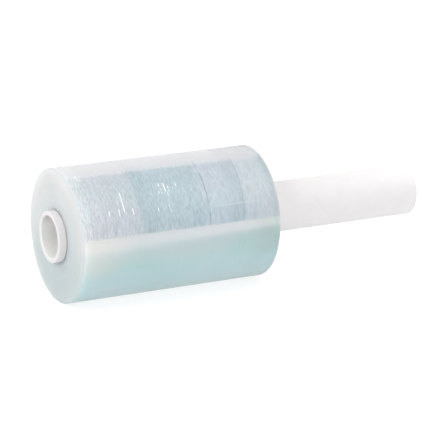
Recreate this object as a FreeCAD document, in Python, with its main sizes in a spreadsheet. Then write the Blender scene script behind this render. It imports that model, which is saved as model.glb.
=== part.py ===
"""A hand roll of stretch wrap: film wound on a spiral paper tube, whose long free end is the handle.

The roll lies on its film, which has flattened a little where it rests. Lengths are in millimetres and
angles in degrees. X runs along the tube towards the handle, and Z is up. The origin is on the surface
that the roll rests on, under the middle of the film's width.
"""
import FreeCAD, Part
import Sketcher

import math
import os

DIMENSIONS = {
    # The film: about 218 m of it, 0.02 mm thick, wound tight. Its turns wander a little sideways, so the
    # roll is about 2 mm wider than the film is.
    "film_width": 129.0,
    "film_diameter": 81.0,
    "film_edge_bevel": 1.0,
    "rest_flat_depth": 0.5,
    # Where the last turn ends: its height over the turn below, and its angle from the top to the front.
    "tail_step": 0.16,
    "tail_angle": 81.0,
    # Creases that run round the film, where its edge folded in under tension.
    "crease_width": 1.1,
    "crease_depth": 0.14,
    # How far the deepest pack of turns lies inside the film's end face.
    "turn_recess": 0.35,
    # The paper tube: a short stub on one side of the film, and the handle on the other.
    "core_bore": 25.4,
    "core_wall": 2.8,
    "core_rim_bevel": 0.5,
    "stub_length": 4.5,
    "handle_length": 110.8,
    # The open line along the edge of the tube's outer ply, which runs round it as a helix.
    "seam_lead": 78.0,
    "seam_width": 0.5,
    "seam_depth": 0.12,
}

# Where the creases run, as shares of the film's width from the stub's side.
CREASE_SHARES = (0.14, 0.3, 0.47, 0.635, 0.795, 0.9)

# Packs of turns from the core outwards. Each has the share of the build-up where it ends, and how deep it
# lies at the stub's side and at the handle's, as shares of turn_recess.
TURN_PACKS = (
    (0.07, 0.1, 0.7),
    (0.2, 0.35, 0.9),
    (0.36, 0.8, 0.4),
    (0.53, 0.3, 0.75),
    (0.7, 0.65, 0.3),
    (0.88, 0.25, 0.55),
)

CLEARING = 2.0  # how far a cutting profile reaches past what it cuts
NEAR = 1e-6  # two places closer than this are one
OUT_FOLDER = "parts"


class Size:
    """A length or an angle with its value now and the expression that drives it from the spreadsheet."""

    def __init__(self, value, text):
        self.value = value
        self.text = text

    def combined(self, sign, other):
        """The size made of this one, an arithmetic sign, and another size or a plain number."""
        if not isinstance(other, Size):
            other = Size(other, repr(other))
        values = {
            "+": self.value + other.value,
            "-": self.value - other.value,
            "*": self.value * other.value,
        }
        return Size(values[sign], f"({self.text} {sign} {other.text})")

    def __add__(self, other):
        return self.combined("+", other)

    def __sub__(self, other):
        return self.combined("-", other)

    def __mul__(self, other):
        return self.combined("*", other)

    def __neg__(self):
        return self.combined("*", -1)


ZERO = Size(0.0, "0")


def make_sheet(doc):
    """Writes the driving dimensions to the document's spreadsheet, and gives them back as sizes."""
    sheet = doc.addObject("Spreadsheet::Sheet", "Dimensions")
    sizes = {}
    for row, (name, value) in enumerate(DIMENSIONS.items(), start=1):
        sheet.set(f"A{row}", name)
        sheet.set(f"B{row}", str(value))
        sheet.setAlias(f"B{row}", name)
        sizes[name] = Size(value, f"Dimensions.{name}")
    doc.recompute()
    return sizes


def new_body(doc, label, height):
    """A body whose own X axis is the roll's axis, lifted so that the film's flat is at the origin."""
    body = doc.addObject("PartDesign::Body", label)
    body.Label = label
    body.setExpression("Placement.Base.z", height.text)
    return body


def new_sketch(body, plane, name):
    """A sketch on one of the body's own origin planes."""
    sketch = body.newObject("Sketcher::SketchObject", name)
    support = next(item for item in body.Origin.OriginFeatures if item.Role == plane)
    sketch.AttachmentSupport = [(support, "")]
    sketch.MapMode = "FlatFace"
    return sketch


def pin(sketch, geometry, point, place):
    """Holds one point of a sketch at a place, which is a pair of sizes from the sketch's centre."""
    for kind, size, axis in (("DistanceX", place[0], -2), ("DistanceY", place[1], -1)):
        if abs(size.value) < NEAR:
            sketch.addConstraint(Sketcher.Constraint("PointOnObject", geometry, point, axis))
            continue
        outwards = size.value > 0
        ends = (-1, 1, geometry, point) if outwards else (geometry, point, -1, 1)
        index = sketch.addConstraint(Sketcher.Constraint(kind, *ends, abs(size.value)))
        sketch.setExpression(f"Constraints[{index}]", (size if outwards else -size).text)


def vector(place):
    return FreeCAD.Vector(place[0].value, place[1].value, 0)


def draw_outline(sketch, places):
    """Draws a closed outline of straight lines through places, and holds each place by its sizes."""
    lines = [
        sketch.addGeometry(Part.LineSegment(vector(place), vector(following)), False)
        for place, following in zip(places, places[1:] + places[:1])
    ]
    for number, place in enumerate(places):
        pin(sketch, lines[number], 1, place)
        sketch.addConstraint(Sketcher.Constraint("Coincident", lines[number - 1], 2, lines[number], 1))


def draw_rectangle(sketch, left, right, low, high):
    draw_outline(sketch, [(left, low), (left, high), (right, high), (right, low)])


def turn(body, kind, name, sketch, axis="H_Axis", angle=360.0, backwards=False):
    """Turns a sketch about one of its lines: a Revolution adds what it sweeps, and a Groove cuts it."""
    feature = body.newObject(f"PartDesign::{kind}", name)
    feature.Profile = sketch
    feature.ReferenceAxis = (sketch, [axis])
    feature.Angle = angle
    feature.Reversed = backwards
    return feature


def core_radius(size):
    return size["core_bore"] * 0.5 + size["core_wall"]


def build_core(doc, size, height):
    """The spiral paper tube, from the short stub to the free end of the handle."""
    body = new_body(doc, "core_tube", height)
    start = -(size["film_width"] * 0.5 + size["stub_length"])
    end = size["film_width"] * 0.5 + size["handle_length"]
    outside = core_radius(size)

    section = new_sketch(body, "XZ_Plane", "tube_section")
    draw_rectangle(section, start, end, size["core_bore"] * 0.5, outside)
    tube = turn(body, "Revolution", "tube", section)
    doc.recompute()

    rims = body.newObject("PartDesign::Chamfer", "cut_rims")
    circles = [
        f"Edge{number}"
        for number, edge in enumerate(tube.Shape.Edges, start=1)
        if edge.BoundBox.XLength < NEAR
    ]
    rims.Base = (tube, circles)
    rims.setExpression("Size", size["core_rim_bevel"].text)

    # The notch reaches as far above the surface as below it, and is twice as wide there as on the surface.
    notch = new_sketch(body, "XZ_Plane", "seam_notch")
    middle = start - CLEARING
    width = size["seam_width"]
    above = outside + size["seam_depth"]
    below = outside - size["seam_depth"]
    draw_outline(notch, [(middle - width, above), (middle + width, above), (middle, below)])
    seam = body.newObject("PartDesign::SubtractiveHelix", "ply_seam")
    seam.Profile = notch
    seam.ReferenceAxis = (notch, ["H_Axis"])
    seam.Mode = "pitch-height-angle"
    seam.setExpression("Pitch", size["seam_lead"].text)
    seam.setExpression("Height", (end - start + 2 * CLEARING).text)
    return body


def draw_film_half(body, size, name, sunk):
    """Half of the film's long section, with its axis lowered by a size, and its radius cut by as much.

    The outline has the broken edges of the film's ends, and a crease at each share of its width.
    """
    sketch = new_sketch(body, "XZ_Plane", name)
    sketch.AttachmentOffset = FreeCAD.Placement(
        FreeCAD.Vector(), FreeCAD.Rotation(FreeCAD.Vector(1, 0, 0), size["tail_angle"].value)
    )
    sketch.setExpression("AttachmentOffset.Rotation.Angle", size["tail_angle"].text)

    axis = -sunk
    half_width = size["film_width"] * 0.5
    bevel = size["film_edge_bevel"]
    crest = size["film_diameter"] * 0.5 - sunk - sunk
    valley = crest - size["crease_depth"]

    places = [(-half_width, axis), (-half_width, crest - bevel), (bevel - half_width, crest)]
    for share in CREASE_SHARES:
        middle = size["film_width"] * (share - 0.5)
        half_crease = size["crease_width"] * 0.5
        places += [(middle - half_crease, crest), (middle, valley), (middle + half_crease, crest)]
    places += [(half_width - bevel, crest), (half_width, crest - bevel), (half_width, axis)]
    draw_outline(sketch, places)
    return sketch


def cut_turn_packs(body, size, name, side, depths):
    """Cuts the ring of each pack of turns into one end face. side is -1 at the stub and 1 at the handle."""
    inside = core_radius(size)
    build_up = size["film_diameter"] * 0.5 - inside
    face = size["film_width"] * (0.5 * side)
    beyond = face + CLEARING * side

    places = [(beyond, inside)]
    ring = inside
    for share, depth in depths:
        floor = face - size["turn_recess"] * (depth * side)
        places.append((floor, ring))
        ring = inside + build_up * share
        places.append((floor, ring))
    places.append((beyond, ring))
    sketch = new_sketch(body, "XZ_Plane", f"{name}_section")
    draw_outline(sketch, places)
    turn(body, "Groove", name, sketch)


def build_film(doc, size, height):
    """The wound film: a spiral of two half turns, whose radii differ so that the tail makes one step."""
    body = new_body(doc, "film_roll", height)
    half_step = size["tail_step"] * 0.5

    over = draw_film_half(body, size, "half_over_the_top", ZERO)
    turn(body, "Revolution", "turns_over_the_top", over, angle=180.0, backwards=True)
    doc.recompute()

    under = draw_film_half(body, size, "half_underneath", half_step)
    axis = under.addGeometry(Part.LineSegment(FreeCAD.Vector(), FreeCAD.Vector(1, 0, 0)), True)
    pin(under, axis, 1, (ZERO, -half_step))
    pin(under, axis, 2, (size["film_width"], -half_step))
    turn(body, "Revolution", "turns_underneath", under, axis="Axis0", angle=180.0)
    doc.recompute()

    reach = size["film_width"] * 0.5 + CLEARING
    bore = new_sketch(body, "XZ_Plane", "core_seat_section")
    draw_rectangle(bore, -reach, reach, ZERO, core_radius(size))
    turn(body, "Groove", "core_seat", bore)

    cut_turn_packs(body, size, "turns_at_stub", -1, [(share, depth) for share, depth, _ in TURN_PACKS])
    cut_turn_packs(body, size, "turns_at_handle", 1, [(share, depth) for share, _, depth in TURN_PACKS])

    flat = new_sketch(body, "XY_Plane", "rest_flat_section")
    flat.setExpression("AttachmentOffset.Base.z", (-height).text)
    half_diameter = size["film_diameter"] * 0.5
    draw_rectangle(flat, -reach, reach, -half_diameter, half_diameter)
    rest = body.newObject("PartDesign::Pocket", "rest_flat")
    rest.Profile = flat
    rest.setExpression("Length", (size["rest_flat_depth"] + CLEARING).text)
    return body


def check(doc, bodies):
    """Stops with a plain message if a feature failed, cut nothing, or left a body that isn't one solid."""
    for item in doc.Objects:
        if "Invalid" in item.State or "Error" in item.State:
            raise RuntimeError(f"{item.Name} failed: {item.State}")
        if item.isDerivedFrom("PartDesign::Feature") and item.BaseFeature:
            change = item.Shape.Volume - item.BaseFeature.Shape.Volume
            grows = item.isDerivedFrom("PartDesign::Revolution")
            if (change > 0) != grows or math.isclose(change, 0, abs_tol=NEAR):
                raise RuntimeError(f"{item.Name} changed the volume by {change}")
    for body in bodies:
        shape = body.Shape
        if shape.isNull() or not shape.isValid() or len(shape.Solids) != 1:
            raise RuntimeError(f"{body.Label} is not one valid solid")


def main():
    doc = FreeCAD.newDocument("stretch_wrap_roll")
    size = make_sheet(doc)
    height = size["film_diameter"] * 0.5 - size["rest_flat_depth"]
    bodies = [build_core(doc, size, height), build_film(doc, size, height)]
    doc.recompute()
    check(doc, bodies)
    os.makedirs(OUT_FOLDER, exist_ok=True)
    for body in bodies:
        body.Shape.exportStep(f"{OUT_FOLDER}/{body.Label}.step")


main()
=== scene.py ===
"""The looks of a hand roll of stretch wrap that lies on its film, in metres.

X runs along the core towards the handle, and Z is up. An angle round the roll is measured from the top
towards the front, which is -Y.
"""
import math

import bpy
import numpy as np
from mathutils import Matrix, Vector


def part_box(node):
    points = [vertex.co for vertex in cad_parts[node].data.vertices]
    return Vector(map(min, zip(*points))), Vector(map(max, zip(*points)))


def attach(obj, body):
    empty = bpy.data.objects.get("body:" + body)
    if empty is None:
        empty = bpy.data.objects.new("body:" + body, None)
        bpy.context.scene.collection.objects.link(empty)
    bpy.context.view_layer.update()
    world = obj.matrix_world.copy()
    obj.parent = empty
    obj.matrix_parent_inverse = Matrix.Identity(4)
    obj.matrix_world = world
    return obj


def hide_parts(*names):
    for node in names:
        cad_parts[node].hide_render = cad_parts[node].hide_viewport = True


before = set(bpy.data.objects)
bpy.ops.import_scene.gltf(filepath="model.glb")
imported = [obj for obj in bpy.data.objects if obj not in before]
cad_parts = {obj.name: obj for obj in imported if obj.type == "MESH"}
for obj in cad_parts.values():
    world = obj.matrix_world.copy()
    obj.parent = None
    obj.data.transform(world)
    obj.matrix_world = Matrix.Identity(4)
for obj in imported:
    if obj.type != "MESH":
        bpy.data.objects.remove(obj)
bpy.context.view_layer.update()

MM = 0.001
NEAR = 1e-9  # two lengths closer than this are one
FILM_LOW, FILM_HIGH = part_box("film_roll")
CORE_LOW, CORE_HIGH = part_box("core_tube")

# Sizes of the film, as the solid has them.
AXIS_HEIGHT = (CORE_LOW.z + CORE_HIGH.z) / 2
FILM_RADIUS = FILM_HIGH.z - AXIS_HEIGHT
FILM_WIDTH = FILM_HIGH.x - FILM_LOW.x
FILM_MIDDLE = (FILM_LOW.x + FILM_HIGH.x) / 2
FILM_EDGE = 1.0 * MM
TAIL_STEP = 0.16 * MM
TAIL_ANGLE = math.radians(81.0)
CREASE_SHARES = (0.14, 0.3, 0.47, 0.635, 0.795, 0.9)
CREASE_WIDTH = 1.1 * MM
CREASE_DEPTH = 0.14 * MM
TURN_RECESS = 0.35 * MM
# Where each pack of turns ends, as a share of the build-up, and how deep it lies at the stub's side and at
# the handle's, as shares of the recess.
TURN_PACKS = (
    (0.07, 0.1, 0.7),
    (0.2, 0.35, 0.9),
    (0.36, 0.8, 0.4),
    (0.53, 0.3, 0.75),
    (0.7, 0.65, 0.3),
    (0.88, 0.25, 0.55),
)

# Sizes of the paper tube, as the solid has them.
CORE_RADIUS = (CORE_HIGH.z - CORE_LOW.z) / 2
CORE_WALL = 2.8 * MM
CORE_BORE_RADIUS = CORE_RADIUS - CORE_WALL
CORE_RIM = 0.5 * MM
SEAM_LEAD = 78.0 * MM
SEAM_WIDTH = 0.5 * MM
SEAM_DEPTH = 0.12 * MM

# The photograph's camera: its angles, its distance, and its focal length in pixels of the frame.
FRAME_PIXELS = 448
FOCAL_PIXELS = 2261.03
SENSOR_WIDTH = 36.0
CAMERA_AZIMUTH = math.radians(-27.0035)
CAMERA_ELEVATION = math.radians(15.6488)
CAMERA_DISTANCE = 1.36173
TARGET_RIGHT = 41.533 * MM
TARGET_UP = -0.690 * MM


def smooth_noise(place, turn, cells_along, cells_round, seed):
    """Value noise from -1 to 1 over a place from 0 to 1 and turns, which joins up round the roll."""
    grid = np.random.default_rng(seed).uniform(-1, 1, (cells_along + 2, cells_round))
    along = np.clip(place, 0, 1) * cells_along
    around = (turn % 1.0) * cells_round
    column = np.floor(along).astype(int)
    row = np.floor(around).astype(int)
    along = along - column
    around = around - row
    along = along * along * (3 - 2 * along)
    around = around * around * (3 - 2 * around)
    row, following_row = row % cells_round, (row + 1) % cells_round
    near = grid[column, row] * (1 - around) + grid[column, following_row] * around
    far = grid[column + 1, row] * (1 - around) + grid[column + 1, following_row] * around
    return near * (1 - along) + far * along


def new_mesh(name, points, quads, smooth=True):
    """An object with a mesh of quads, given as arrays, in the scene."""
    mesh = bpy.data.meshes.new(name)
    mesh.from_pydata(points.tolist(), [], quads.tolist())
    mesh.validate()
    if smooth:
        mesh.shade_smooth()
    else:
        mesh.shade_flat()
    piece = bpy.data.objects.new(name, mesh)
    bpy.context.scene.collection.objects.link(piece)
    return piece


def ring_quads(rings, columns):
    """Quads of a closed grid: each ring joins the next, the last joins the first, and so do the columns."""
    ring = np.arange(rings)[:, None]
    column = np.arange(columns)[None, :]
    following_ring = (ring + 1) % rings
    following_column = (column + 1) % columns
    corners = (
        ring * columns + column,
        following_ring * columns + column,
        following_ring * columns + following_column,
        ring * columns + following_column,
    )
    return np.stack(corners, axis=-1).reshape(-1, 4)


# The film

# Rings and columns of the film's mesh: columns are close at the front, and closest at the tail's step.
SIDE_RINGS = 230
FACE_RINGS = 14
RIM_STEPS = 5
FINE_SPAN = math.radians(110)
FINE_COLUMNS = 106
COARSE_COLUMNS = 76
STEP_SPACING = 0.25 * MM
CLOSEST_RINGS = 0.09 * MM
CORE_GAP = 0.02 * MM
# A pack's edge is eased over this share of the build-up.
PACK_EASE = 0.08
# The faces ripple a little: how far, and in how many cells of noise outwards and round the roll.
FACE_RIPPLE = 0.04 * MM
RIPPLE_CELLS = (46, 5)
# Wrinkles of the side: cells of noise along the film and round it, and their height.
WRINKLES = ((210, 26, 0.012 * MM), (70, 14, 0.022 * MM), (16, 7, 0.04 * MM))
WRINKLE_SEED = 11
FACE_SEED = 14
CREASE_SEED = 31
# The share of its full depth that a crease keeps, how much that varies, and in how many cells of noise.
CREASE_HELD = 0.35
CREASE_VARIES = 0.15
CREASE_CELLS = 9
# The side lies this far inside the solid's, so that no wrinkle stands out of it. The wrinkles fade out over
# a share of the width at each rim.
SIDE_DEPTH = 0.062 * MM
SIDE_FADE = 0.04
# Raised folds of the loose last turn: the place along X in millimetres, the first and the last angle from
# the top in degrees, and the share of the full height.
FOLDS = (
    (-57.6, 17.0, 27.0, 0.55),
    (-56.0, 20.0, 27.0, 0.5),
    (-36.0, 41.0, 62.5, 1.1),
    (-38.8, 47.0, 54.5, 0.45),
    (-45.6, 57.5, 63.0, 1.0),
    (-39.3, 57.0, 64.5, 0.9),
    (-30.6, 58.0, 64.5, 0.9),
    (-9.9, 38.5, 42.5, 0.8),
    (-9.7, 43.5, 46.5, 0.6),
    (-6.9, 38.0, 48.0, 1.1),
    (-4.6, 41.0, 45.0, 0.65),
    (-4.8, 45.5, 48.0, 0.55),
    (0.7, 39.5, 44.0, 0.75),
    (-1.8, 43.0, 46.0, 0.45),
    (-11.2, 45.5, 49.0, 0.6),
    (-9.6, 47.0, 50.0, 0.6),
    (-6.0, 48.0, 51.5, 0.6),
    (-12.5, 51.0, 54.0, 0.35),
    (-14.4, 60.0, 64.0, 0.75),
    (-7.2, 58.0, 61.5, 0.55),
    (-6.4, 62.5, 67.0, 0.45),
    (-5.0, 59.0, 63.0, 0.4),
)
FOLD_HEIGHT = 0.13 * MM
FOLD_HALF_WIDTH = 0.54 * MM
# How far the creases on the handle's side lean along X at most, and which part of that the film has at some
# shares of its width.
LEAN = 5.3 * MM
LEAN_SHARES = (0.55, 0.635, 0.795, 0.95)
LEAN_PARTS = (0.0, 0.26, 1.0, 0.0)


def tail_columns():
    """Angles of the film's columns, from the tail round to the tail again."""
    step = STEP_SPACING / FILM_RADIUS
    coarse = np.linspace(0, 2 * math.pi - FINE_SPAN, COARSE_COLUMNS)
    fine = np.linspace(2 * math.pi - FINE_SPAN, 2 * math.pi, FINE_COLUMNS)
    past_tail = np.concatenate([[0, step, 3 * step], coarse[1:], fine[1:-1]])
    return TAIL_ANGLE + np.append(past_tail, 2 * math.pi - step * np.array([2, 1]))


def film_radius(angle):
    """Radius of the film at an angle: one half turn about the axis, and one a little smaller off the axis."""
    past_tail = (angle - TAIL_ANGLE) % (2 * math.pi)
    underneath = past_tail < math.pi
    lowered = FILM_RADIUS - TAIL_STEP / 2 - TAIL_STEP / 2 * np.cos(past_tail)
    return np.where(underneath, lowered, FILM_RADIUS)


def pack_depth(share, side):
    """Depth of the film's end face at a share of the build-up, with each pack's edge eased a little."""
    depth = 0.0
    start = 0.0
    for end, at_stub, at_handle in TURN_PACKS:
        level = at_stub if side < 0 else at_handle
        rise = np.clip((share - start) / PACK_EASE + 0.5, 0, 1)
        fall = np.clip((share - end) / PACK_EASE + 0.5, 0, 1)
        depth += level * (rise - fall)
        start = end
    return depth * TURN_RECESS


def face_shares():
    """Places of an end face's rings, as shares of the build-up from the core outwards."""
    even = np.linspace(0, 0.985, FACE_RINGS)
    ends = np.array([end for end, _, _ in TURN_PACKS])
    close_to_edges = [0.003, 0.03, 0.94, 0.975]
    shares = np.concatenate([even, close_to_edges, ends - PACK_EASE / 2, ends, ends + PACK_EASE / 2])
    return np.unique(np.round(np.clip(shares, 0, 1), 3))


def face_place(side):
    """Where an end face is along X: side is -1 at the stub and 1 at the handle."""
    return FILM_HIGH.x if side > 0 else FILM_LOW.x


def film_grid():
    """Points of the film as rings by columns: one face, the side, the other face and the bore.

    With them comes each point's share of the film's width, as it would be if no crease leaned.
    """
    angle = tail_columns()
    turn = angle / (2 * math.pi)
    radius = film_radius(angle)
    bore = CORE_RADIUS + CORE_GAP
    rings = []

    def add(x, r, leaning=0.0):
        rings.append([np.broadcast_to(value, angle.shape) for value in (x, x + leaning, r)])

    def add_face(side, shares):
        for share in shares:
            fade = math.sin(math.pi * min(1.0, share * 1.02))
            ripple = fade * smooth_noise(share, turn, *RIPPLE_CELLS, FACE_SEED)
            depth = pack_depth(share, side) + FACE_RIPPLE * (1 + ripple)
            add(face_place(side) - side * depth, bore + share * (radius - FILM_EDGE - bore))

    def add_rim(side, bends):
        for bend in bends:
            inset = FILM_EDGE * (1 - math.cos(bend))
            add(face_place(side) - side * inset, radius - FILM_EDGE * (1 - math.sin(bend)))

    shares = face_shares()
    bends = np.linspace(0, math.pi / 2, RIM_STEPS)
    add_face(-1, shares)
    add_rim(-1, bends)
    for x in side_places():
        share = (x - FILM_LOW.x) / FILM_WIDTH
        add(x, radius - side_relief(share, turn), crease_lean(share, angle))
    add_rim(1, bends[::-1])
    add_face(1, shares[::-1])

    square_x, x, r = np.stack(rings, axis=1)
    y = -r * np.sin(angle)
    z = np.maximum(r * np.cos(angle) + AXIS_HEIGHT, 0.0)
    return np.stack([x, y, z], axis=-1), (square_x - FILM_LOW.x) / FILM_WIDTH


def crease_lean(share, angle):
    """How far the film leans towards the handle at a share of its width: most at the top, and not below."""
    return LEAN * np.interp(share, LEAN_SHARES, LEAN_PARTS) * ((1 + np.cos(angle)) / 2) ** 2


def side_places():
    """Places of the rings along the film's side, with more of them on each crease and fold."""
    places = np.linspace(FILM_LOW.x + FILM_EDGE, FILM_HIGH.x - FILM_EDGE, SIDE_RINGS)[1:-1]
    for share in CREASE_SHARES:
        middle = FILM_LOW.x + share * FILM_WIDTH
        places = places[np.abs(places - middle) > CREASE_WIDTH * 0.6]
        places = np.append(places, middle + CREASE_WIDTH * np.array([-0.5, -0.25, 0, 0.25, 0.5]))
    for middle, *_ in FOLDS:
        places = np.append(places, middle * MM + FOLD_HALF_WIDTH * np.array([-1, -0.5, 0, 0.5, 1]))
    places = np.sort(places)
    return places[np.append(True, np.diff(places) > CLOSEST_RINGS)]


def side_relief(share, turn):
    """Depth of the film's side at a share of its width: creases, wrinkles and raised folds."""
    wrinkled = SIDE_DEPTH
    for seed, (cells_along, cells_round, height) in enumerate(WRINKLES, start=WRINKLE_SEED):
        wrinkled = wrinkled + height * smooth_noise(share, turn, cells_along, cells_round, seed)
    depth = wrinkled * min(1.0, share / SIDE_FADE, (1 - share) / SIDE_FADE)
    for number, crease in enumerate(CREASE_SHARES):
        off = abs(share - crease) * FILM_WIDTH / (CREASE_WIDTH / 2)
        if off < 1:
            uneven = smooth_noise(0.5, turn, 1, CREASE_CELLS, CREASE_SEED + number)
            held = CREASE_HELD + CREASE_VARIES * uneven
            depth = depth + CREASE_DEPTH * (1 - off) * held
    return depth - FOLD_HEIGHT * fold_share(FILM_LOW.x + share * FILM_WIDTH, turn)


def fold_share(x, turn):
    """How far a place of the film's side stands on a raised fold, from 0 to about 1."""
    degrees = (turn * 360 + 180) % 360 - 180
    raised = np.zeros_like(degrees + x)
    for middle, first, last, height in FOLDS:
        across = np.clip(1 - np.abs(x - middle * MM) / FOLD_HALF_WIDTH, 0, 1)
        along = np.clip(1 - np.abs(degrees - (first + last) / 2) / ((last - first) / 2), 0, 1)
        raised = np.maximum(raised, height * across * np.minimum(1, along * 3))
    return raised


def make_film():
    """The wound film as one closed mesh, whose points know their share of the width and of a fold."""
    points, share = film_grid()
    rings, columns, _ = points.shape
    film = new_mesh("wound_film", points.reshape(-1, 3), ring_quads(rings, columns))
    x, y, z = points[..., 0], points[..., 1], points[..., 2] - AXIS_HEIGHT
    on_side = np.hypot(y, z) > FILM_RADIUS - FILM_EDGE
    raised = fold_share(x, np.arctan2(-y, z) / (2 * math.pi)) * on_side
    for name, values in (("raised", raised), ("width_share", share)):
        film.data.attributes.new(name, "FLOAT", "POINT").data.foreach_set("value", values.ravel())
    film.data.materials.append(film_side_material())
    film.data.materials.append(film_face_material())
    for polygon in film.data.polygons:
        on_face = abs(polygon.center.x - FILM_MIDDLE) > FILM_WIDTH / 2 - FILM_EDGE
        polygon.material_index = 1 if on_face else 0
    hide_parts("film_roll")
    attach(film, "root")


# The paper tube

TUBE_RING_SPACING = 1.4 * MM
TUBE_COLUMNS = 66
PLY_COUNT = 4
# How the edge of a ply shows on the tube's end: three insets from the end, and the step between their radii.
PLY_INSETS = (0.05 * MM, 0.16 * MM, 0.03 * MM)
PLY_STEP = 0.12 * MM


def tube_end():
    """One end of the tube in section, from the bore outwards: pairs of an inset from the end and a radius."""
    bends = np.linspace(0, math.pi / 2, 4)
    insets = CORE_RIM * (1 - np.cos(bends))
    eased = CORE_RIM * (1 - np.sin(bends))
    section = list(zip(insets[::-1], CORE_BORE_RADIUS + eased[::-1]))
    for number in range(1, PLY_COUNT):
        level = CORE_BORE_RADIUS + CORE_WALL * number / PLY_COUNT
        section += zip(PLY_INSETS, (level - PLY_STEP, level, level + PLY_STEP))
    return section + list(zip(insets, CORE_RADIUS - eased))


def tube_points():
    """Points of the tube as a grid: rings along it, and columns that follow the helix of its outer seam."""
    seam_length = math.hypot(SEAM_LEAD, 2 * math.pi * CORE_RADIUS)
    seam_turn = SEAM_WIDTH / 2 * seam_length / SEAM_LEAD / CORE_RADIUS
    plain = np.linspace(seam_turn * 3, 2 * math.pi - seam_turn * 3, TUBE_COLUMNS)
    phase = np.concatenate([[-seam_turn, 0, seam_turn], plain])
    seam = np.zeros_like(phase)
    seam[1] = SEAM_DEPTH
    rings = []

    def add(x, radius):
        angle = phase + 2 * math.pi * (x - CORE_LOW.x) / SEAM_LEAD
        if radius > CORE_RADIUS - NEAR:
            radius = radius - seam
        points = (np.full_like(phase, x), -radius * np.sin(angle), AXIS_HEIGHT + radius * np.cos(angle))
        rings.append(np.stack(points, axis=-1))

    end = tube_end()
    count = round((CORE_HIGH.x - CORE_LOW.x - 2 * CORE_RIM) / TUBE_RING_SPACING)
    between = np.linspace(CORE_LOW.x + CORE_RIM, CORE_HIGH.x - CORE_RIM, count)[1:-1]
    for inset, radius in end:
        add(CORE_LOW.x + inset, radius)
    for x in between:
        add(x, CORE_RADIUS)
    for inset, radius in reversed(end):
        add(CORE_HIGH.x - inset, radius)
    for x in between[::-1]:
        add(x, CORE_BORE_RADIUS)
    return np.stack(rings)


def make_tube():
    """The spiral paper tube as one closed mesh."""
    points = tube_points()
    rings, columns, _ = points.shape
    tube = new_mesh("paper_tube", points.reshape(-1, 3), ring_quads(rings, columns))
    tube.data.materials.append(paper_material())
    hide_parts("core_tube")
    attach(tube, "root")


# Materials

# Screen colours of the loose last turn from the stub's side to the handle's, bluer where it clings to the
# turn below, and darker at the handle's end with painted shade. Each comes after the share of the film's
# width that it is at.
ZONES = (
    (0.0, (212, 216, 218)),
    (0.05, (209, 215, 217)),
    (0.11, (203, 210, 215)),
    (0.28, (196, 206, 212)),
    (0.31, (180, 198, 205)),
    (0.36, (181, 199, 206)),
    (0.42, (187, 204, 211)),
    (0.6, (184, 202, 208)),
    (0.64, (196, 209, 216)),
    (0.73, (194, 207, 214)),
    (0.76, (186, 200, 207)),
    (0.79, (186, 200, 207)),
    (0.81, (201, 210, 216)),
    (0.93, (198, 206, 211)),
    (1.0, (186, 195, 199)),
)
# Screen colours of the taut turns, from the clearest of their clouds to the milkiest.
TAUT = ((0.3, (170, 208, 203)), (0.45, (180, 210, 210)), (0.55, (185, 211, 213)), (0.7, (197, 214, 215)))
# Creases darkened with painted shade into dark lines: the share of the film's width that each is at, and how
# dark its painted shade is.
PAINTED_SHADE_CREASES = ((CREASE_SHARES[1], 0.15), (CREASE_SHARES[3], 0.6), (CREASE_SHARES[4], 0.4))
# For this part of a turn next to the tail the film is darker and more teal, and a pale line of painted
# highlight runs near where that part begins.
TEALER_BAND_TURN = 0.043
PAINTED_HIGHLIGHT_TURN = 0.0395


def new_material(name):
    """A node material, its tree and its principled shader."""
    material = bpy.data.materials.new(name)
    material.use_nodes = True
    tree = material.node_tree
    return material, tree, tree.nodes["Principled BSDF"]


def add_node(tree, kind, links=None, **settings):
    """A node of a tree. settings are its properties, and links sets or joins its inputs by name or number."""
    node = tree.nodes.new(kind)
    for name, value in settings.items():
        setattr(node, name, value)
    for socket, value in (links or {}).items():
        if isinstance(value, bpy.types.NodeSocket):
            tree.links.new(value, node.inputs[socket])
        else:
            node.inputs[socket].default_value = value
    return node


def arithmetic(tree, operation, first, second=0.0, clamp=False):
    """The result of a Math node, whose operation has Blender's own name."""
    node = add_node(tree, "ShaderNodeMath", {0: first, 1: second}, operation=operation, use_clamp=clamp)
    return node.outputs[0]


def product(tree, first, *others):
    """The values multiplied with each other."""
    for other in others:
        first = arithmetic(tree, "MULTIPLY", first, other)
    return first


def rescale(tree, value, low, high, at_low, at_high):
    """A value's place between two others, eased and put between two results."""
    links = {"Value": value, "From Min": low, "From Max": high, "To Min": at_low, "To Max": at_high}
    return add_node(tree, "ShaderNodeMapRange", links, interpolation_type="SMOOTHSTEP").outputs[0]


def object_place(tree):
    """The object coordinates, as one vector and as its three parts."""
    coordinates = add_node(tree, "ShaderNodeTexCoord").outputs["Object"]
    return coordinates, add_node(tree, "ShaderNodeSeparateXYZ", {0: coordinates}).outputs


def height_over_axis(tree, place):
    """How far a place is above the roll's axis."""
    return arithmetic(tree, "SUBTRACT", place["Z"], AXIS_HEIGHT)


def distance_from_axis(tree, place):
    """How far a place is from the roll's axis."""
    across = arithmetic(tree, "POWER", place["Y"], 2.0)
    upwards = arithmetic(tree, "POWER", height_over_axis(tree, place), 2.0)
    return arithmetic(tree, "SQRT", arithmetic(tree, "ADD", across, upwards))


def add_bump(tree, shader, height, strength, distance):
    """Bumps on a shader, whose height counts in a distance. The bent normal is given back."""
    links = {"Height": height, "Strength": strength, "Distance": distance}
    bump = add_node(tree, "ShaderNodeBump", links).outputs["Normal"]
    tree.links.new(bump, shader.inputs["Normal"])
    return bump


def mix_number(tree, factor, first, second):
    """A number between two others: the first at factor 0, and the second at 1."""
    return add_node(tree, "ShaderNodeMix", {0: factor, 2: first, 3: second}, data_type="FLOAT").outputs[0]


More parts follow.
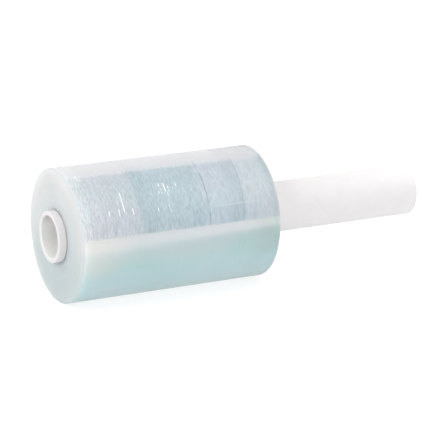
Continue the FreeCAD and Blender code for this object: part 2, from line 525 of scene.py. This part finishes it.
def noise(tree, vector, scale, detail=2.0, roughness=0.5, distortion=0.0):
    """A noise texture at a vector, from 0 to 1, with its scale in features per metre."""
    links = {
        "Vector": vector,
        "Scale": scale,
        "Detail": detail,
        "Roughness": roughness,
        "Distortion": distortion,
    }
    return add_node(tree, "ShaderNodeTexNoise", links).outputs["Fac"]


def stretched(tree, scale, place=(0, 0, 0)):
    """Object coordinates moved by a place and then scaled along each axis."""
    coordinates = add_node(tree, "ShaderNodeTexCoord").outputs["Object"]
    links = {"Vector": coordinates, "Scale": scale, "Location": place}
    return add_node(tree, "ShaderNodeMapping", links).outputs["Vector"]


def ramp(tree, factor, stops):
    """A colour ramp. stops are pairs of a place and a colour, or a grey."""
    node = add_node(tree, "ShaderNodeValToRGB", {"Fac": factor})
    elements = node.color_ramp.elements
    while len(elements) < len(stops):
        elements.new(0.5)
    for element, (place, colour) in zip(elements, stops):
        element.position = place
        element.color = (*colour, 1) if isinstance(colour, tuple) else (colour, colour, colour, 1)
    return node.outputs["Color"]


def mix_colour(tree, factor, first, second, blend="MIX"):
    """The first colour with the second laid over it, as far as the factor says."""
    node = add_node(tree, "ShaderNodeMix", data_type="RGBA", blend_type=blend)
    for number, value in ((0, factor), (6, first), (7, second)):
        if isinstance(value, bpy.types.NodeSocket):
            tree.links.new(value, node.inputs[number])
        else:
            node.inputs[number].default_value = value if number == 0 else (*value, 1)
    return node.outputs[2]


def from_screen(red, green, blue):
    """A linear colour from a screen colour with parts from 0 to 255."""
    parts = [value / 255 for value in (red, green, blue)]
    return tuple(v / 12.92 if v <= 0.04045 else ((v + 0.055) / 1.055) ** 2.4 for v in parts)


def screen_ramp(tree, factor, stops):
    """A colour ramp whose colours are screen colours."""
    return ramp(tree, factor, [(place, from_screen(*colour)) for place, colour in stops])


def wrinkled_colour(tree, share, turns_back, wrinkling, fine, middling, clouds):
    """Colour of the loose last turn: zones along the film, under a hatch of fine wrinkles."""
    dents = noise(tree, stretched(tree, (1.0, 0.45, 0.45)), 110.0, 2.0, 0.5, 0.3)
    wobble = product(tree, arithmetic(tree, "SUBTRACT", dents, 0.5), 0.06)
    zones = screen_ramp(tree, arithmetic(tree, "ADD", share, wobble), ZONES)
    calm = from_screen(190, 197, 200)
    colour = mix_colour(tree, mix_number(tree, wrinkling, 0.2, 1.0), calm, zones)

    hatch = ramp(tree, fine, [(0.3, 0.83), (0.5, 0.99), (0.7, 1.11)])
    hatching = product(tree, wrinkling, rescale(tree, share, 0.6, 0.75, 1.0, 0.6))
    tinge = ramp(tree, clouds, [(0.35, (0.965, 1.0, 0.985)), (0.65, (1.015, 0.99, 1.015))])
    patches = ramp(tree, middling, [(0.3, 0.94), (0.7, 1.05)])
    for factor, pattern in ((hatching, hatch), (wrinkling, tinge), (wrinkling, patches)):
        colour = mix_colour(tree, factor, colour, pattern, "MULTIPLY")
    return with_lines(tree, colour, share, turns_back, wrinkling)


def with_lines(tree, colour, share, turns_back, wrinkling):
    """The loose turn's colour with creases darkened by painted shade, and darker and more teal next to the
    tail, with a painted highlight line.
    """
    broken = noise(tree, stretched(tree, (0.5, 1.0, 1.0)), 130.0, 1.0)
    broken = rescale(tree, broken, 0.35, 0.5, 0.25, 1.0)
    # Painted shade along each crease, broken up by noise.
    for crease, darkness in PAINTED_SHADE_CREASES:
        off = arithmetic(tree, "ABSOLUTE", arithmetic(tree, "SUBTRACT", share, crease))
        mark = rescale(tree, off, 0.7 * MM / FILM_WIDTH, 0.1 * MM / FILM_WIDTH, 0.0, darkness)
        colour = mix_colour(tree, product(tree, mark, broken, wrinkling), colour, from_screen(140, 165, 172))

    tealer_band = rescale(tree, turns_back, TEALER_BAND_TURN + 0.002, TEALER_BAND_TURN, 0.0, 1.0)
    # A broken pale line of painted highlight along the upper edge of the darker, more teal band.
    edge = rescale(tree, turns_back, PAINTED_HIGHLIGHT_TURN, PAINTED_HIGHLIGHT_TURN + 0.002, 0.0, 1.0)
    begins = rescale(tree, share, 0.5, 0.6, 0.0, 1.0)
    along = product(tree, begins, rescale(tree, share, 0.9, 0.87, 0.0, 1.0))
    colour = mix_colour(tree, product(tree, along, tealer_band), colour, (0.94, 0.98, 0.99), "MULTIPLY")
    line = product(tree, along, tealer_band, edge, broken, 0.4)
    return mix_colour(tree, line, colour, from_screen(216, 222, 226))


def taut_colour(tree, share, turns_back, clouds):
    """Colour of the taut turns: clear and green, milky at the stub's side, bluer low on the roll, and darker
    and greener towards the handle's end, which is partly painted shade.
    """
    colour = screen_ramp(tree, clouds, TAUT)
    under_tail = rescale(tree, turns_back, 0.9, 1.0, 0.0, 1.0)
    colour = mix_colour(tree, under_tail, colour, from_screen(188, 202, 206))
    milky = rescale(tree, share, 0.3, 0.02, 0.0, 0.8)
    milky = product(tree, milky, rescale(tree, turns_back, 0.89, 0.94, 0.25, 1.0))
    colour = mix_colour(tree, milky, colour, from_screen(208, 213, 208))
    # Darker and greener towards the handle's end: partly the film's own tone, partly painted shade.
    far = rescale(tree, share, 0.78, 1.0, 0.0, 0.8)
    colour = mix_colour(tree, far, colour, from_screen(172, 190, 187))
    low = rescale(tree, turns_back, 0.93, 0.89, 0.0, 0.6)
    return mix_colour(tree, low, colour, from_screen(184, 208, 214))


def film_side_material():
    """Clear film, many turns deep. The last turn lies loose and wrinkled up to the tail, the rest is taut.

    The coat stands for the shine of the outermost turns together, which is stronger than one surface's.
    """
    material, tree, shader = new_material("film_side")
    _, place = object_place(tree)
    front = product(tree, place["Y"], -1.0)
    angle = arithmetic(tree, "ARCTAN2", front, height_over_axis(tree, place))
    behind_tail = arithmetic(tree, "SUBTRACT", TAIL_ANGLE, angle)
    turns_back = arithmetic(tree, "FRACT", arithmetic(tree, "DIVIDE", behind_tail, 2 * math.pi))
    share = add_node(tree, "ShaderNodeAttribute", attribute_name="width_share").outputs["Fac"]
    loose = rescale(tree, turns_back, 0.62, 0.36, 0.0, 1.0)
    slanted = arithmetic(tree, "SUBTRACT", turns_back, rescale(tree, share, 1.0, 0.0, 0.0, 0.007))
    wrinkling = rescale(tree, slanted, 0.178, 0.158, 0.1, 1.0)
    fine = noise(tree, stretched(tree, (1.0, 0.2, 0.2)), 1600.0, 2.0, 0.55)
    middling = noise(tree, stretched(tree, (1.0, 0.2, 0.2), (0.3, 0.1, 0.2)), 700.0, 2.0, 0.5, 0.2)
    clouds = noise(tree, stretched(tree, (0.5, 1.0, 1.0)), 45.0, 2.0, 0.5, 0.4)

    wrinkled = wrinkled_colour(tree, share, turns_back, wrinkling, fine, middling, clouds)
    colour = mix_colour(tree, loose, taut_colour(tree, share, turns_back, clouds), wrinkled)
    # Painted shade: the side darkens close to the handle's rim.
    painted_far_edge_shade = rescale(tree, share, 0.955, 0.995, 0.0, 1.0)
    colour = mix_colour(tree, painted_far_edge_shade, colour, (0.78, 0.76, 0.76), "MULTIPLY")
    # Painted highlight: the raised folds are painted near white, as glints.
    raised = add_node(tree, "ShaderNodeAttribute", attribute_name="raised").outputs["Fac"]
    white = rescale(tree, raised, 0.1, 0.6, 0.0, 1.0)
    tree.links.new(mix_colour(tree, white, colour, (0.93, 0.95, 0.97)), shader.inputs["Base Color"])

    ridges = arithmetic(tree, "ADD", product(tree, fine, 0.5), middling)
    slack = arithmetic(tree, "ADD", product(tree, loose, wrinkling, 0.9), 0.1)
    bump = add_bump(tree, shader, product(tree, ridges, slack), 1.0, 0.08 * MM)
    tree.links.new(bump, shader.inputs["Coat Normal"])
    shader.inputs["Roughness"].default_value = 0.35
    shader.inputs["Coat Weight"].default_value = 1.0
    shader.inputs["Coat Roughness"].default_value = 0.05
    shader.inputs["Coat IOR"].default_value = 2.0
    set_film_body(shader, (0.7, 0.96, 1.0), 16.0 * MM)
    return material


def film_face_material():
    """The film's end: the edges of its turns, a soft frosted white with faint rings, and painted shade at its
    rim and towards its bottom.
    """
    material, tree, shader = new_material("film_face")
    coordinates, place = object_place(tree)
    radius = distance_from_axis(tree, place)
    outwards = add_node(tree, "ShaderNodeCombineXYZ", {0: radius}).outputs[0]
    rings = noise(tree, outwards, 900.0, 4.0, 0.7)
    wide_rings = noise(tree, outwards, 170.0, 2.0, 0.5)
    clouds = noise(tree, coordinates, 30.0, 1.0, 0.5)

    inner = screen_ramp(tree, clouds, [(0.3, (208, 214, 217)), (0.7, (214, 219, 221))])
    outer = screen_ramp(tree, clouds, [(0.3, (213, 215, 214)), (0.7, (220, 219, 218))])
    colour = mix_colour(tree, rescale(tree, radius, CORE_RADIUS, FILM_RADIUS, 0.0, 1.0), inner, outer)
    # Painted shade: the face darkens towards its rim, and much more so at the handle's end.
    rim = rescale(tree, radius, FILM_RADIUS - 2.2 * MM, FILM_RADIUS - 0.4 * MM, 0.0, 0.8)
    colour = mix_colour(tree, rim, colour, from_screen(196, 201, 204))
    painted_far_rim_shade = product(tree, rim, arithmetic(tree, "GREATER_THAN", place["X"], FILM_MIDDLE))
    colour = mix_colour(tree, painted_far_rim_shade, colour, (0.62, 0.6, 0.6), "MULTIPLY")
    # Painted shade: the face is darker and more teal towards the bottom.
    low = rescale(tree, place["Z"], 0.01, 0.06, 1.0, 0.0)
    colour = mix_colour(tree, low, colour, (0.83, 0.9, 0.91), "MULTIPLY")
    ringed = ramp(tree, wide_rings, [(0.3, 0.96), (0.7, 1.0)])
    colour = mix_colour(tree, 0.6, colour, ringed, "MULTIPLY")
    tree.links.new(colour, shader.inputs["Base Color"])
    add_bump(tree, shader, rings, 0.12, 0.05 * MM)
    shader.inputs["Roughness"].default_value = 0.42
    set_film_body(shader, (0.96, 0.99, 1.0), 12.0 * MM)
    return material


def set_film_body(shader, radius, depth):
    """How light goes into the film and comes out: red travels less far than green and blue."""
    shader.inputs["Subsurface Weight"].default_value = 1.0
    shader.inputs["Subsurface Radius"].default_value = radius
    shader.inputs["Subsurface Scale"].default_value = depth
    shader.inputs["IOR"].default_value = 1.5


def paper_material():
    """White paperboard: a smooth outer ply with fine fibres, a little pink. The bore is painted with light
    and shade: near white low down, and darker towards its top.
    """
    material, tree, shader = new_material("white_paperboard")
    coordinates, place = object_place(tree)
    fibres = noise(tree, coordinates, 2600.0, 3.0, 0.7)
    mottle = noise(tree, coordinates, 90.0, 1.0, 0.5)
    outer = screen_ramp(tree, mottle, [(0.3, (233, 230, 231)), (0.7, (235, 233, 233))])
    # Painted light and shade in the bore: near white low down, darker towards its top.
    height = height_over_axis(tree, place)
    painted_shade_overhead = rescale(tree, height, 0.15 * CORE_BORE_RADIUS, CORE_BORE_RADIUS, 0.0, 1.0)
    inner = mix_colour(tree, painted_shade_overhead, from_screen(252, 252, 251), from_screen(213, 211, 209))
    radius = distance_from_axis(tree, place)
    outwards = rescale(tree, radius, CORE_BORE_RADIUS + 0.1 * MM, CORE_BORE_RADIUS + 0.6 * MM, 0.0, 1.0)
    specks = ramp(tree, fibres, [(0.3, 0.95), (0.6, 1.0)])
    colour = mix_colour(tree, 0.6, mix_colour(tree, outwards, inner, outer), specks, "MULTIPLY")
    tree.links.new(colour, shader.inputs["Base Color"])
    add_bump(tree, shader, fibres, 0.25, 0.06 * MM)
    shader.inputs["Roughness"].default_value = 0.7
    shader.inputs["IOR"].default_value = 1.4
    return material


# The studio


def camera_axes():
    """The camera's right, up and backward directions."""
    level = math.cos(CAMERA_ELEVATION)
    away = (math.sin(CAMERA_AZIMUTH) * level, -math.cos(CAMERA_AZIMUTH) * level, math.sin(CAMERA_ELEVATION))
    back = Vector(away)
    right = Vector((math.cos(CAMERA_AZIMUTH), math.sin(CAMERA_AZIMUTH), 0))
    return right, back.cross(right), back


def make_camera():
    """The photograph's camera, which looks at a place beside the film's middle."""
    right, up, back = camera_axes()
    target = Vector((FILM_MIDDLE, 0, AXIS_HEIGHT)) + right * TARGET_RIGHT + up * TARGET_UP
    data = bpy.data.cameras.new("camera")
    data.sensor_width = SENSOR_WIDTH
    data.lens = SENSOR_WIDTH * FOCAL_PIXELS / FRAME_PIXELS
    data.clip_start = 0.05
    data.clip_end = 50.0
    camera = bpy.data.objects.new("camera", data)
    turned = Matrix((right, up, back)).transposed().to_4x4()
    camera.matrix_world = Matrix.Translation(target + back * CAMERA_DISTANCE) @ turned
    bpy.context.scene.collection.objects.link(camera)
    bpy.context.scene.camera = camera


def mirrored(angle):
    """The angle round the X axis from which the camera sees a reflection in the film's side at an angle."""
    towards_camera = math.atan2(-camera_axes()[2].y, camera_axes()[2].z)
    return 2 * angle - towards_camera


def add_area_light(name, direction, distance, size, power):
    """A soft white light that faces the film's middle and isn't itself seen. size is its width and height."""
    data = bpy.data.lights.new(name, "AREA")
    data.shape = "RECTANGLE"
    data.size, data.size_y = size
    data.energy = power
    light = bpy.data.objects.new(name, data)
    direction = Vector(direction).normalized()
    light.location = direction * distance + Vector((0, 0, AXIS_HEIGHT))
    light.rotation_euler = direction.to_track_quat("Z", "Y").to_euler()
    light.visible_camera = False
    light.visible_glossy = False
    bpy.context.scene.collection.objects.link(light)


def make_lights():
    """Soft light from above, the stub's side and the front, and a weak lamp close over the handle's end."""
    add_area_light("top_light", (0.1, -0.1, 1.0), 1.6, (2.0, 1.6), 4.6)
    add_area_light("left_light", (-1.0, 0.0, 0.8), 1.8, (1.2, 0.9), 9.8)
    add_area_light("front_light", (0.3, -1.0, 0.45), 1.8, (1.6, 0.9), 4.2)
    add_area_light("handle_light", (0.26, -0.01, 0.11), 0.285, (0.1, 0.1), 0.072)


def shine_card(name, points, quads, look):
    """A card that only shows in glossy surfaces. look gives its colour and its strength at a place."""
    card = new_mesh(name, np.array(points), np.array(quads), smooth=False)
    card.visible_camera = False
    card.visible_diffuse = False
    card.visible_shadow = False
    card.visible_transmission = False
    material = bpy.data.materials.new(name)
    material.use_nodes = True
    tree = material.node_tree
    tree.nodes.remove(tree.nodes["Principled BSDF"])
    _, place = object_place(tree)
    colour, strength = look(tree, place)
    glow = add_node(tree, "ShaderNodeEmission", {"Color": colour, "Strength": strength})
    tree.links.new(glow.outputs[0], tree.nodes["Material Output"].inputs["Surface"])
    card.data.materials.append(material)


# The cards are bent round the roll's axis. The camera sees the film's ends reflected in them at 0.71 and
# 0.84 metres along X, and the places along X in the cards' looks are set by that.
CARD_RADIUS = 1.6


def arc_card(name, first, last, left, right, look):
    """A card bent round the X axis, from one angle to another, and from one place along X to another."""
    steps = max(2, round(abs(last - first) / math.radians(4)) + 1)
    points = []
    for angle in np.linspace(first, last, steps):
        for x in (left, right):
            points.append((x, -CARD_RADIUS * math.sin(angle), CARD_RADIUS * math.cos(angle) + AXIS_HEIGHT))
    quads = [(2 * i, 2 * i + 1, 2 * i + 3, 2 * i + 2) for i in range(steps - 1)]
    shine_card(name, points, quads, look)


def dimmed_on_left(tree, place, colour, strength):
    """A card's look, turned to a dim white beyond the stub's end, where only other views reflect it."""
    left = rescale(tree, place["X"], -0.1, -0.5, 0.0, 1.0)
    colour = mix_colour(tree, left, colour, (0.95, 0.98, 1.0))
    return colour, mix_number(tree, left, strength, 0.75)


def wall_look(tree, place):
    """Nearly white at its foot, brighter and pinker higher up, and dimmer beyond the roll's far end."""
    rise = rescale(tree, place["Z"], 0.0, 0.8 * CARD_RADIUS, 0.0, 1.0)
    colour = mix_colour(tree, rise, (1.0, 0.98, 0.98), (1.0, 0.88, 0.88))
    fade = rescale(tree, place["X"], 0.79, 0.85, 1.0, 0.7)
    strength = product(tree, mix_number(tree, rise, 0.97, 1.45), fade)
    slanted = arithmetic(tree, "ADD", place["Y"], rescale(tree, place["X"], 0.7, 0.78, 0.0, 0.055))
    strength = mix_number(tree, rescale(tree, slanted, 0.825, 0.845, 0.0, 1.0), 0.65, strength)
    return dimmed_on_left(tree, place, colour, strength)


def ceiling_look(tree, place):
    """Dim and pink at its foot, less so at the roll's ends, nearly white above, and dimmer further back."""
    rise = rescale(tree, place["Z"], 0.1 * CARD_RADIUS, 0.75 * CARD_RADIUS, 0.0, 1.0)
    colour = mix_colour(tree, rise, (1.0, 0.7, 0.9), (1.0, 0.97, 1.0))
    backwards = rescale(tree, place["Y"], -0.5 * CARD_RADIUS, 0.1 * CARD_RADIUS, 0.0, 1.0)
    level = mix_number(tree, backwards, 0.95, 0.6)
    near_end = rescale(tree, place["X"], 0.75, 0.712, 0.0, 0.4)
    foot = arithmetic(tree, "ADD", near_end, rescale(tree, place["X"], 0.8, 0.85, 0.32, 0.5))
    return colour, mix_number(tree, rise, foot, level)


def floor_look(tree, place):
    """Dim beside the roll, brighter behind it, and brightest in front, further out at the handle's side."""
    away = arithmetic(tree, "SUBTRACT", product(tree, place["Y"], -1.0), FILM_RADIUS)
    sloping = arithmetic(tree, "SUBTRACT", away, product(tree, place["X"], 0.52))
    front = rescale(tree, sloping, 0.025, 0.14, 0.0, 1.0)
    behind = rescale(tree, place["Y"], 0.0, 0.25, 0.0, 1.0)
    dim = mix_number(tree, behind, 0.6, 1.1)
    cool = mix_colour(tree, behind, (0.9, 1.0, 1.0), (1.0, 1.0, 1.0))
    colour = mix_colour(tree, front, cool, (1.0, 0.8, 0.78))
    return dimmed_on_left(tree, place, colour, mix_number(tree, front, dim, 2.05))


# Where the film's reflection goes from the wall to the ceiling. It goes on to the floor at the tail.
TOP_BAND_ANGLE = math.radians(22.5)


def make_cards():
    """What the film's gloss reflects: a bright wall behind, a dimmer ceiling in front, and the floor."""
    top = mirrored(TOP_BAND_ANGLE)
    arc_card("back_wall", math.radians(-100), top, -3.0, 5.0, wall_look)
    arc_card("ceiling", top, mirrored(TAIL_ANGLE), 0.58, 0.98, ceiling_look)
    half = 6.0
    height = 0.4 * MM
    corners = [(-half, -half, height), (half, -half, height), (half, half, height), (-half, half, height)]
    shine_card("bright_floor", corners, [(0, 1, 2, 3)], floor_look)


# The room's strength as a light and as a reflection.
WORLD_DIFFUSE = 0.72
WORLD_GLOSSY = 0.85
# The table's grey and its glow. To the camera they add up to white.
TABLE_GREY = 0.5
TABLE_GLOW = 0.5
TABLE_GREY_SEEN = 0.33
TABLE_GLOW_SEEN = 0.765


def make_world():
    """A white room: white to the camera, nearly white in reflections, and a plain light on everything."""
    world = bpy.data.worlds.new("studio")
    world.use_nodes = True
    bpy.context.scene.world = world
    tree = world.node_tree
    background = tree.nodes["Background"]
    background.inputs["Color"].default_value = (1, 1, 1, 1)
    rays = add_node(tree, "ShaderNodeLightPath").outputs
    seen = arithmetic(tree, "ADD", rays["Is Camera Ray"], rays["Is Transmission Ray"], clamp=True)
    unseen = mix_number(tree, rays["Is Glossy Ray"], WORLD_DIFFUSE, WORLD_GLOSSY)
    tree.links.new(mix_number(tree, seen, unseen, 1.0), background.inputs["Strength"])


def make_floor():
    """A lit white table, which keeps a weak shadow of the roll."""
    half = 8.0
    points = np.array([(-half, -half, 0), (half, -half, 0), (half, half, 0), (-half, half, 0)])
    floor = new_mesh("floor", points, np.array([[0, 1, 2, 3]]), smooth=False)
    material, tree, shader = new_material("white_floor")
    seen = add_node(tree, "ShaderNodeLightPath").outputs["Is Camera Ray"]
    grey = mix_colour(tree, seen, (TABLE_GREY,) * 3, (TABLE_GREY_SEEN,) * 3)
    glow = mix_number(tree, seen, TABLE_GLOW, TABLE_GLOW_SEEN)
    tree.links.new(grey, shader.inputs["Base Color"])
    shader.inputs["Emission Color"].default_value = (1, 1, 1, 1)
    tree.links.new(glow, shader.inputs["Emission Strength"])
    shader.inputs["Roughness"].default_value = 0.9
    shader.inputs["Specular IOR Level"].default_value = 0.0
    floor.data.materials.append(material)


def main():
    bpy.context.scene.view_settings.view_transform = "Standard"
    make_camera()
    make_world()
    make_lights()
    make_cards()
    make_floor()
    make_film()
    make_tube()


main()
